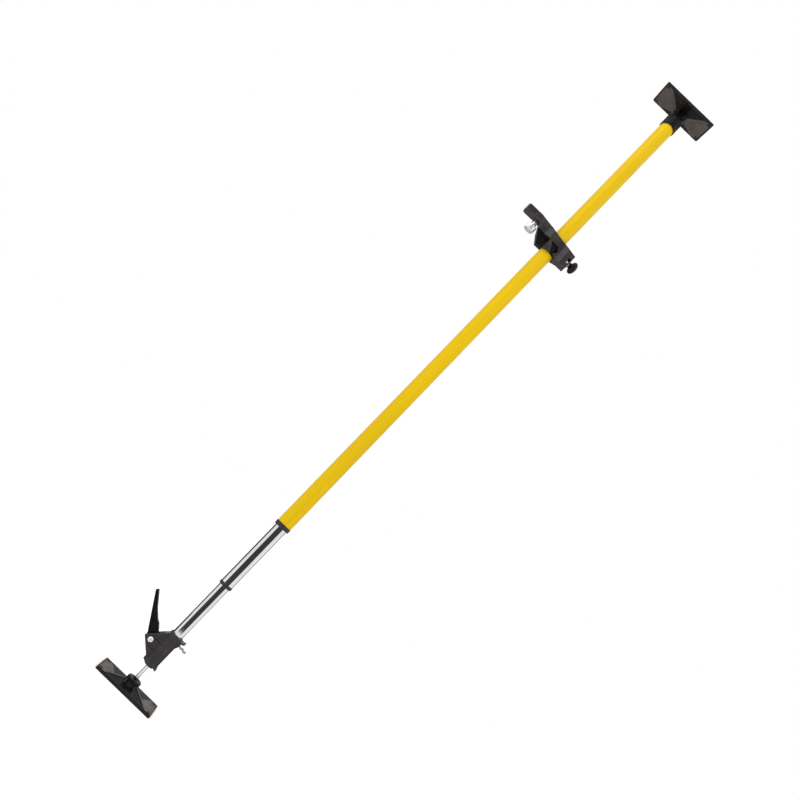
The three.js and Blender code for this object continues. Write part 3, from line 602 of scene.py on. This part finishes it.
# ---------------------------------------------------------------- jack housing
SHELL = [(-11.6, 119.6), (-40.9, 90.4), (-42.2, 88.6), (-41.4, 86.9), (-15.5, 64.4), (-16.2, 59.2), (-7.2, 54.0),
         (5.6, 54.0), (7.4, 55.8), (10.6, 56.2), (13.4, 53.9), (15.6, 55.4), (12.9, 60.4), (12.9, 104.6), (15.7, 110.2),
         (15.4, 116.4), (21.2, 118.6), (22.0, 121.0), (20.6, 121.0), (17.4, 119.8), (12.9, 120.0)]
SHELL_IN = [(-11.6, 116.4), (-38.0, 90.0), (-38.6, 88.6), (-37.9, 87.0), (-12.9, 65.4), (-12.9, 60.4), (-10.6, 59.0), (-10.6, 57.2),
            (10.6, 57.2), (10.6, 105.2), (13.2, 110.4), (12.9, 114.4), (10.6, 115.8)]
SLIT = [(-48, 86.2), (-39.6, 85.6), (-36.5, 87.5), (-19.5, 102.4), (-19.5, 114), (-48, 114)]
POSTS = [(-20.6, 74.6), (-15.3, 108.6)]
PIV_X, PIV_Z, SY, BR = -28.7, 88.6, 10.5, 13.3


def housing():
    p = prism("Y", SHELL, -SY, SY)
    keep = prism("Y", [(-13.3, 59.5), (-7.2, 54), (7, 54), (12.9, 59), (12.9, 120.4), (-11.6, 120.4), (-13.3, 118)], -20, 20)
    p = p.add(rod(BR, 54, 120.4, 96).both(keep),
              rod(BR, 119, 122.4, 96).both(box(-20, 12.9, -20, 20, 110, 130)),
              rod(BR, 119, 123.2, 96).both(box(-20, -5.6, -20, 20, 110, 130)))
    p = p.cut(prism("Y", SHELL_IN, -SY + 2.2, SY - 2.2), rod(11.05, 57.2, 115.9, 96), rod(9.0, 115, 119, 96), rod(11.05, 118.0, 130, 96))
    extra = []
    for s in (-1, 1):
        # ribs across the flat face, and a bead along its two slanted edges
        for z, x0 in ((97.3, -28.5), (81.1, -29.5)):
            y0, y1 = sorted((s * (SY - 0.3), s * (SY + 1.7)))
            extra.append(box(x0, -6.5, y0, y1, z - 0.8, z + 0.8))
        y0, y1 = sorted((s * (SY - 0.3), s * (SY + 0.7)))
        extra.append(prism("Y", [(-12.4, 118.2), (-40.4, 90.3), (-39.2, 89.1), (-11.8, 116.4)], y0, y1))
        extra.append(prism("Y", [(-40.6, 87.4), (-15.8, 65.8), (-14.8, 66.9), (-39.6, 88.5)], y0, y1))
        # raised boss round the pivot screw
        a, b = sorted((s * (SY - 0.5), s * (SY + 0.25)))
        extra.append(rod(6.2, a, b, 64, "Y", PIV_X, PIV_Z))
    p = p.add(*extra)
    web = []
    for x, z in POSTS:
        web.append(rod(3.6, -9, 9, 48, "Y", x, z).both(prism("Y", SHELL, -9, 9)))
    for s in (-1, 1):
        a, b = sorted((5.9 * s, 9.5 * s))
        web.append(rod(5.5, a, b, 48, "Y", PIV_X, PIV_Z))
    p = p.add(*web)
    cuts = [rod(5.3, 50, 60, 64), prism("Y", SLIT, -5.9, 5.9), box(9, 20, -8.4, 8.4, 107.6, 116.1), rod(2.8, -20, 20, 48, "Y", PIV_X, PIV_Z)]
    for x, z in POSTS:
        cuts.append(lathe([(0, -6), (1.5, -6), (1.5, 1), (2.0, 1), (2.0, 8.4), (3.4, 8.4), (3.4, 20), (0, 20)], 40, "Y", x, z))
    # fine moulded lines down the round barrel
    for a in (-124, -107, -90, -73, -56, 56, 73, 90, 107, 124):
        t = math.radians(a)
        cuts.append(rod(0.55, 63, 114, 12).at((BR + 0.2) * math.cos(t), (BR + 0.2) * math.sin(t), 0))
    for s in (-1, 1):
        # groove beside the round barrel and under each rib
        y0, y1 = sorted((s * (SY - 1.1), s * (SY + 3)))
        cuts.append(box(-12.9, -11.5, y0, y1, 67, 95.6))
        cuts.append(box(-12.9, -11.5, y0, y1, 99, 115))
        for z, x0 in ((97.3, -28.5), (81.1, -23.5)):
            cuts.append(box(x0, -12.9, y0, y1, z - 2.6, z - 1.3))
    return p.cut(*cuts)


whole = housing()
piece("housing_front", whole.both(box(-60, 40, -30, -0.15, 40, 140)), "jack_shell_front", M_PLASTIC, voxel=0.33, relax=2)
piece("housing_rear", whole.both(box(-60, 40, 0.15, 30, 40, 140)), "jack_shell_rear", M_PLASTIC, voxel=0.33, relax=2)

R = 4.9
head = lathe([(0, -14.2), (2.6, -14.1), (R - 0.7, -13.2), (R, -12.2), (R, -SY - GAP - 0.3), (2.5, -SY - GAP - 0.3), (2.5, 14.6), (0, 14.6)], 72, "Y", PIV_X, PIV_Z, r=0.3)
star = [(2.6 * math.cos(math.pi * i / 3 + 0.3), 2.6 * math.sin(math.pi * i / 3 + 0.3)) for i in range(6)]
head = head.cut(prism("Y", star, -16, -10.6).at(PIV_X, 0, PIV_Z), lathe([(3.4, -16), (4.0, -16), (4.0, -13.2), (3.4, -13.2)], 64, "Y", PIV_X, PIV_Z))
piece("pivot_screw", head, "lever_screw", M_HEAD, bevel=0.12)
for i, (x, z) in enumerate(POSTS):
    s = lathe([(0, -5.6), (1.2, -5.6), (1.2, 8.7), (3.0, 8.7), (3.0, 9.9), (2.2, 10.3), (0, 10.3)], 40, "Y", x, z, r=0.2)
    s = s.cut(box(-1.8, 1.8, 9.5, 12, -0.3, 0.3).at(x, 0, z), box(-0.3, 0.3, 9.5, 12, -1.8, 1.8).at(x, 0, z))
    piece(f"joining_screw_{i + 1}", s, f"shell_screw_{i + 1}", M_ZINC)

# ---------------------------------------------------------------- lever
NA, NL, NR = math.radians(12), 20, 3
nX, nZ = PIV_X + NL * math.cos(NA), PIV_Z + NL * math.sin(NA)
LH = 5.4
l = prism("Y", [(-83.4, 153.2), (-80.6, 155.8), (-78.9, 156.0), (-58.8, 132.2), (-44.6, 119.0), (-37.6, 115.0), (-27.2, 103.6),
                (-24.0, 96.4), (-22.6, 89.0), (-28.7, 82.6), (-34.0, 85.9), (-41.2, 91.8)], -LH, LH)
nx, nz = -math.sin(NA) * NR, math.cos(NA) * NR
l = l.add(rod(6.5, -LH, LH, 64, "Y", PIV_X, PIV_Z),
          prism("Y", [(PIV_X - nx, PIV_Z - nz), (-18.6, 88.9), (-12.8, 90.7), (nX - nx * 0.3, nZ - nz * 0.3), (nX + nx, nZ + nz), (PIV_X + nx * 1.8, PIV_Z + nz * 1.8)], -4.2, 4.2),
          rod(NR, -4.2, 4.2, 40, "Y", nX, nZ))
l = l.cut(prism("Y", [(-77.5, 148.6), (-44.5, 99.2), (-48, 93), (-86, 150)], -LH + 2, LH - 2), rod(2.8, -20, 20, 48, "Y", PIV_X, PIV_Z))
# sunk panel on both flanks, and cross webs in the channel
flank = [(-77.8, 149.6), (-57.6, 125.8), (-45.2, 114.2), (-38.6, 108.6), (-42.8, 100.2)]
l = l.cut(prism("Y", flank, -LH - 1, -LH + 0.55), prism("Y", flank, LH - 0.55, LH + 1))
l = l.add(*[prism("Y", [(x, z), (x + 1.2, z + 0.9), (x - 3.4, z + 6.4), (x - 4.6, z + 5.5)], -LH + 1.2, LH - 1.2).both(
    prism("Y", [(-83.4, 153.2), (-78.9, 156.0), (-44.6, 119.0), (-27.2, 103.6), (-41.2, 91.8)], -9, 9)) for x, z in ((-50.5, 106), (-57.5, 116), (-64.5, 126))])
piece("hand_lever", l, "squeeze_lever", M_LEVER, voxel=0.36, relax=3)

# ---------------------------------------------------------------- springs
def coil(radius, wire, z0, z1, turns, steps=28, around=12):
    """A closed round-wire coil, with its two end turns lying flat."""
    n = int(turns * steps)
    rows, verts = [], []
    for i in range(n + 1):
        t = i / n
        a = 2 * math.pi * turns * t
        flat = 1.0 / turns
        u = min(max((t - flat * 0.8) / (1 - 1.6 * flat), 0.0), 1.0)
        z = z0 + wire + (z1 - z0 - 2 * wire - 2.4 * wire) * u + 1.2 * wire * (min(t, flat * 0.8) + max(t - 1 + flat * 0.8, 0.0)) / (flat * 0.8)
        out = Vector((math.cos(a), math.sin(a), 0))
        rows.append(list(range(len(verts), len(verts) + around)))
        for k in range(around):
            b = 2 * math.pi * k / around
            verts.append(tuple(out * (radius + wire * math.cos(b)) + Vector((0, 0, z + wire * math.sin(b)))))
    faces = [rows[0][::-1], rows[-1]]
    for i in range(n):
        faces += [[rows[i][k], rows[i][(k + 1) % around], rows[i + 1][(k + 1) % around], rows[i + 1][k]] for k in range(around)]
    return S(as_mesh(verts, faces))


lo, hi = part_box("drive_spring")
z0, z1 = lo.z / MM, hi.z / MM
spring = piece("lever_return_spring", coil(5.6, 0.6, z0, z1, 6), "drive_spring", M_STEEL, angle=60)
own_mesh(spring)

# ---------------------------------------------------------------- release plate
r = S(NODES["release_plate"].data.copy())
r.me.transform(Matrix.Scale(1000, 4))
piece("release_tab", r, "release_plate", M_STEEL, voxel=0.24, relax=3)

# ---------------------------------------------------------------- tubes and collars
for n, ri, ro in (("lower_tube", 9.75, 10.75), ("middle_tube", 11.5, 12.5), ("outer_tube", 13.8, 15.0)):
    lo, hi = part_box(n)
    z0, z1 = lo.z / MM, hi.z / MM
    prof = [(ri, z0), (ro, z0)]
    # rings that keep the surface evenly divided along its length
    prof += [(ro, z0 + (z1 - z0) * k / 24) for k in range(1, 24)]
    prof += [(ro, z1), (ri, z1)]
    piece(n.replace("_tube", "_section"), lathe(prof, 144, r=0.35), n, M_YELLOW if n == "outer_tube" else M_CHROME, angle=40)

for n in ("middle_collar", "outer_collar"):
    lo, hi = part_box(n)
    z0, z1, R = lo.z / MM, hi.z / MM, hi.x / MM
    h = z1 - z0
    ri = 10.95 if n == "middle_collar" else 12.7
    prof = [(ri, z0), (R - 0.8, z0), (R, z0 + 0.8), (R, z0 + h * 0.35), (R - 0.45, z0 + h * 0.39), (R - 0.45, z0 + h * 0.45), (R, z0 + h * 0.49), (R, z1 - 0.8), (R - 0.5, z1), (ri, z1)]
    outer_r = 12.5 if n == "middle_collar" else 15.0
    k = NODES[n]
    # the collar keeps its CAD form where a sleeve goes up inside the tube
    if h > 14:
        k.data.materials.clear()
        k.data.materials.append(M_PLASTIC)
    else:
        piece(n.replace("_", "_end_"), lathe(prof, 128, r=0.3), n, M_PLASTIC)

# ---------------------------------------------------------------- bracket
BL, BRR, BB, BBB, BT, BRT, AB, AH, BY = -91.5, 45.5, 1105, 1107, 1155, 1138.8, 1141.5, 11.5, 19.6
LX, CZ = -57.6, 1123
slim = prism("Z", [(BL + 4, -AH), (-46, -AH), (-24, -13), (BRR, -12.5), (BRR, 12.5), (-24, 13), (-46, AH),
                   (BL + 4, AH), (BL + 1.2, AH - 1.2), (BL, AH - 4), (BL, -AH + 4), (BL + 1.2, -AH + 1.2)], 1090, 1170)
wide_pts = [(-30, -12), (-17.5, -BY), (17, -BY), (30, -12), (30, 12), (17, BY), (-17.5, BY), (-30, 12)]


def wide():
    return prism("Z", wide_pts, 1090, 1170)


slim_band = prism("Y", [(BL - 2, BT), (-52, BT), (BRR + 1, BRT - 0.2), (BRR + 1, BBB), (19.5, BBB), (8.6, 1126), (-44, 1131.6), (-46.6, 1133.2), (-50.4, AB), (BL - 2, AB)], -40, 40)
wide_band = prism("Y", [(-60, 1152.6), (60, 1132.8), (60, BBB), (19.5, BBB), (8.6, 1126), (-60, 1131.5)], -40, 40)
p = slim.both(slim_band).add(wide().both(wide_band))
p = p.add(wide().both(prism("Y", [(-13.4, 1129), (-13.4, BB), (2.6, BB), (-9.6, 1129)], -40, 40)),
          wide().both(prism("Y", [(8.6, 1126.2), (14.2, 1116), (9.2, BBB), (22, BBB), (22, 1126)], -40, 40)))
# painted shade: the barrel round the pole and the web under the arm, where they floor the pockets, are a separate piece
# in darker plastic
pocket_shade_core = rod(17.2, BB, 1132, 96).add(prism("Y", [(-45.6, 1133), (-45.4, 1130.4), (-41.2, 1121.6), (-29.5, BB), (-10, BB), (-10, 1132.4)], -7, 7))
# sunk panels on the flanks of the arm, and a bead along its lower edge
for s in (-1, 1):
    a, b = sorted((s * (AH - 0.7), s * (AH + 6)))
    p = p.cut(prism("Y", [(-88.5, 1152.6), (-66.5, 1152.6), (-66.5, 1144.0), (-88.5, 1144.0)], a, b),
              prism("Y", [(-62.5, 1152.2), (-52.5, 1152.2), (-49.5, 1151.4), (-49.5, 1143.6), (-62.5, 1144.0)], a, b))
    a, b = sorted((s * (12.5 - 0.7), s * (12.5 + 9)))
    p = p.cut(prism("Y", [(31.5, 1137.4), (42.0, 1135.6), (42.0, 1131.4), (31.5, 1131.4)], a, b))
holes = [rod(15.35, 1000, 1200, 96), box(0, 24.6, -8.5, 8.5, CZ - 10.4, CZ + 10.4), rod(4.3, 20, 60, 48, "X", 0, CZ),
         box(37.8, 43.6, -20, 7.8, CZ - 6.8, CZ + 6.8), rod(3.9, 1100, 1200, 48).at(LX, 0, 0), rod(7.2, 1148.6, 1200, 64).at(LX, 0, 0)]
pocket_shade_core = pocket_shade_core.cut(p).cut(*holes[:3])
p = p.cut(*holes)
# bead along the lower edge of the arm
for s in (-1, 1):
    a, b = sorted((s * 10.6, s * 12.2))
    p = p.add(prism("Y", [(BL + 3, AB + 0.2), (-50.4, AB + 0.2), (-46.6, 1133.4), (-44, 1131.8), (-30, 1130.3), (-30, 1131.6), (-43.6, 1133.0), (-45.8, 1134.4), (-49.8, AB + 1.5), (BL + 3, AB + 1.5)], a, b))
piece("bracket_casting", p, "bracket_body", M_CAST, voxel=0.45, relax=2)
# painted shade: darker plastic for the pocket floors of the same moulding
piece("bracket_barrel", pocket_shade_core, "bracket_body", M_DARK, voxel=0.45, relax=2)

knob = lathe([(4.3, 47.3), (6.6, 47.3), (5.0, 49.4), (8.0, 50.8), (12.2, 53.2), (13.0, 55.2), (13.0, 57.2), (11.4, 60.6), (7.4, 63.2), (2.6, 64.3), (0, 64.4), (0, 57.4), (4.3, 57.4)],
             144, "X", 0, CZ, r=1.1, wave=lambda a, r, h: 1.0 - (0.018 * (0.5 + 0.5 * math.cos(18 * a)) ** 2 if r > 11 else 0.0))
piece("clamp_hand_knob", knob, "clamp_knob", M_DARK, angle=50)
thread = []
z = 22.0
prof = [(0, 21.1), (3.4, 21.1)]
while z < 56.0:
    prof += [(4.0, z + 0.15), (4.0, z + 0.45), (3.35, z + 1.0), (3.35, z + 1.1)]
    z += 1.25
prof += [(4.0, 56.4), (4.0, 57), (0, 57)]
piece("clamp_bolt", lathe(prof, 48, "X", 0, CZ), "clamp_screw", M_ZINC)
hexa = circle(0, CZ, 7.4, 6)
nut = prism("X", hexa, 38.2, 43.2).both(lathe([(0, 38.2), (6.6, 38.2), (7.5, 38.9), (7.5, 42.5), (6.6, 43.2), (0, 43.2)], 72, "X", 0, CZ)).cut(rod(4.3, 30, 50, 40, "X", 0, CZ))
piece("clamp_hex_nut", nut, "clamp_nut", M_ZINC, bevel=0.15)
piece("clamp_flat_washer", lathe([(4.3, BRR + GAP), (8.0, BRR + GAP), (8.0, BRR + 1.5), (4.3, BRR + 1.5)], 64, "X", 0, CZ, r=0.3), "clamp_washer", M_ZINC)
shoe = box(13.5, 20.8, -8.1, 8.1, CZ - 10, CZ + 10).cut(rod(15.35, 1000, 1200, 96))
piece("clamp_rubber_shoe", shoe, "clamp_shoe", M_RUBBER, bevel=0.3)

# mounting screw and its knob
k1 = lathe([(0, 1115.6), (9.4, 1115.6), (10.75, 1116.7), (10.75, 1127.3), (9.6, 1128.4), (6.2, 1128.4), (6.2, 1135.2), (5.6, 1135.8), (0, 1135.8)], 192, "Z", LX, 0, r=0.4,
           wave=lambda a, r, h: 1.0 - (0.022 * (0.5 + 0.5 * math.cos(20 * a)) if r > 10.0 else 0.0))
k1 = k1.cut(rod(3.2, 1117.6, 1140, 48).at(LX, 0, 0), lathe([(4.6, 1115), (7.8, 1115), (7.8, 1116.2), (4.6, 1116.2)], 72, "Z", LX))
piece("thumb_knob", k1, "laser_knob", M_KNOB, angle=50)
prof = [(0, 1118), (2.9, 1118), (2.9, 1136.2), (3.2, 1136.2), (3.2, 1149.2), (2.4, 1149.2), (2.4, 1150.8), (3.2, 1150.8), (3.2, 1153.2), (2.6, 1154), (0, 1154)]
piece("mounting_stud", lathe(prof, 48, "Z", LX, r=0.15), "laser_screw", M_ZINC)
padp = prism("Z", [(-89, -8.5), (-88, -9.5), (-53.4, -9.5), (-53.4, 9.5), (-88, 9.5), (-89, 8.5)], BT + GAP, BT + 1.5)
cuts = [rod(7.6, 1100, 1200, 64).at(LX, 0, 0)] + [box(x - 0.5, x + 0.5, -7.8, 7.8, BT + 1.0, BT + 3) for x in (-86, -82.5, -79, -75.5, -72, -68.5)]
piece("platform_grip", padp.cut(*cuts), "platform_pad", M_RUBBER, bevel=0.12)

# ---------------------------------------------------------------- ceiling fitting
PIN_Z = TOTAL - 11.5
c = lathe([(15.3, 1477.4), (16.6, 1477.4), (17.2, 1478.2), (17.2, 1502.6), (16.4, 1504.4), (9.4, 1512.4), (0, 1512.4), (0, 1498.3), (15.3, 1498.3)], 128, r=0.4)
c = c.cut(rod(50, -30, 30, 128, "Y", 0, 1477.4 + 2.4 - 50))
c = c.add(prism("X", [(-5.4, 1511), (5.4, 1511)] + circle(0, PIN_Z, 4.9, 24, 0, math.pi, False), -7.6, 7.6))
# finger flutes round the collar
c = c.cut(*[rod(0.7, 1482, 1500, 16).at(17.6 * math.cos(math.radians(a)), 17.6 * math.sin(math.radians(a)), 0) for a in range(0, 360, 15)])
c = c.cut(rod(2.3, -30, 30, 40, "X", 0, PIN_Z))
piece("ceiling_socket", c, "top_collar", M_DARK, voxel=0.36, relax=2)

# ---------------------------------------------------------------- surroundings
world = bpy.data.worlds.new("world")
bpy.context.scene.world = world
world.use_nodes = True
nt = world.node_tree
nt.nodes.clear()


def wn(kind, **kw):
    n = nt.nodes.new(kind)
    for k, v in kw.items():
        setattr(n, k, v)
    return n


def wmath(op, a, b=None):
    n = wn("ShaderNodeMath", operation=op)
    for i, v in enumerate((a, b)):
        if v is None:
            continue
        if isinstance(v, (int, float)):
            n.inputs[i].default_value = v
        else:
            nt.links.new(v, n.inputs[i])
    return n.outputs[0]


def wband(v, a, b, soft_w):
    """1 between a and b, 0 outside, with soft ends."""
    out = None
    for lo, hi in ((a - soft_w, a + soft_w), (b + soft_w, b - soft_w)):
        n = wn("ShaderNodeMapRange", clamp=True, interpolation_type="SMOOTHSTEP")
        n.inputs["From Min"].default_value, n.inputs["From Max"].default_value = lo, hi
        nt.links.new(v, n.inputs["Value"])
        out = n.outputs[0] if out is None else wmath("MULTIPLY", out, n.outputs[0])
    return out


out = wn("ShaderNodeOutputWorld")
coord = wn("ShaderNodeTexCoord")
sep = wn("ShaderNodeSeparateXYZ")
nt.links.new(coord.outputs["Generated"], sep.inputs[0])
az = wmath("ARCTAN2", sep.outputs[0], wmath("MULTIPLY", sep.outputs[1], -1.0))
el = sep.outputs[2]
# a dark studio wall in front of the object and a narrow one behind it, seen only as reflections
front = wmath("MULTIPLY", wband(az, -0.80, 0.80, 0.05), wband(el, -0.305, 0.72, 0.012))
back = wmath("MULTIPLY", wband(az, -2.85, -1.85, 0.06), wband(el, -0.45, 0.04, 0.04))
back2 = wmath("MULTIPLY", wband(az, 2.25, 2.85, 0.06), wband(el, -0.45, 0.04, 0.04))
dark = wmath("MAXIMUM", wmath("MULTIPLY", front, 0.95), wmath("MAXIMUM", wmath("MULTIPLY", back, 0.96), wmath("MULTIPLY", back2, 0.90)))
low = wband(el, -0.75, -0.315, 0.01)
sides = wmath("MAXIMUM", wband(az, -3.30, -1.30, 0.06), wband(az, 1.55, 3.30, 0.06))
dark = wmath("MAXIMUM", dark, wmath("MULTIPLY", wmath("MULTIPLY", low, sides), 0.9))
path = wn("ShaderNodeLightPath")
level = wmath("SUBTRACT", 1.0, wmath("MULTIPLY", dark, path.outputs["Is Glossy Ray"]))
side = wn("ShaderNodeMapRange")
side.inputs["From Min"].default_value, side.inputs["From Max"].default_value = -1.0, 1.0
side.inputs["To Min"].default_value, side.inputs["To Max"].default_value = -0.40, 0.16
nt.links.new(wmath("COSINE", wmath("ADD", az, 0.35)), side.inputs["Value"])
level = wmath("ADD", level, wmath("MULTIPLY", side.outputs[0], path.outputs["Is Diffuse Ray"]))
bg = wn("ShaderNodeBackground")
comb = wn("ShaderNodeCombineColor")
for i in range(3):
    nt.links.new(level, comb.inputs[i])
nt.links.new(comb.outputs[0], bg.inputs[0])
bg.inputs[1].default_value = 1.0
nt.links.new(bg.outputs[0], out.inputs[0])
bpy.context.scene.view_settings.view_transform = "Standard"

# soft key light from above and the left
for name, loc, size, power in (("key", (-1.6, -1.4, 3.0), 1.8, 26.0), ("fill", (1.8, -0.6, 2.2), 1.6, 10.0)):
    ld = bpy.data.lights.new(name, "AREA")
    ld.energy, ld.size, ld.shape = power, size, "DISK"
    lo_ = bpy.data.objects.new(name, ld)
    bpy.context.collection.objects.link(lo_)
    lo_.location = loc
    lo_.rotation_euler = (Vector((0, 0, 0.8)) - Vector(loc)).to_track_quat("-Z", "Y").to_euler()

# floor
me = bpy.data.meshes.new("floor")
bm = bmesh.new()
bmesh.ops.create_circle(bm, cap_ends=True, segments=96, radius=12)
bm.to_mesh(me)
bm.free()
floor = bpy.data.objects.new("floor", me)
bpy.context.collection.objects.link(floor)
floor.location.z = -0.0003
floor.visible_glossy = False
mat = bpy.data.materials.new("floor_white")
mat.use_nodes = True
fp = mat.node_tree.nodes["Principled BSDF"]
fp.inputs["Base Color"].default_value = (0.92, 0.92, 0.92, 1)
fp.inputs["Roughness"].default_value = 0.95
fp.inputs["Specular IOR Level"].default_value = 0.1
fp.inputs["Emission Color"].default_value = (1, 1, 1, 1)
fp.inputs["Emission Strength"].default_value = 0.20
me.materials.append(mat)

for junk in [x for x in bpy.data.meshes if x.users == 0]:
    bpy.data.meshes.remove(junk)
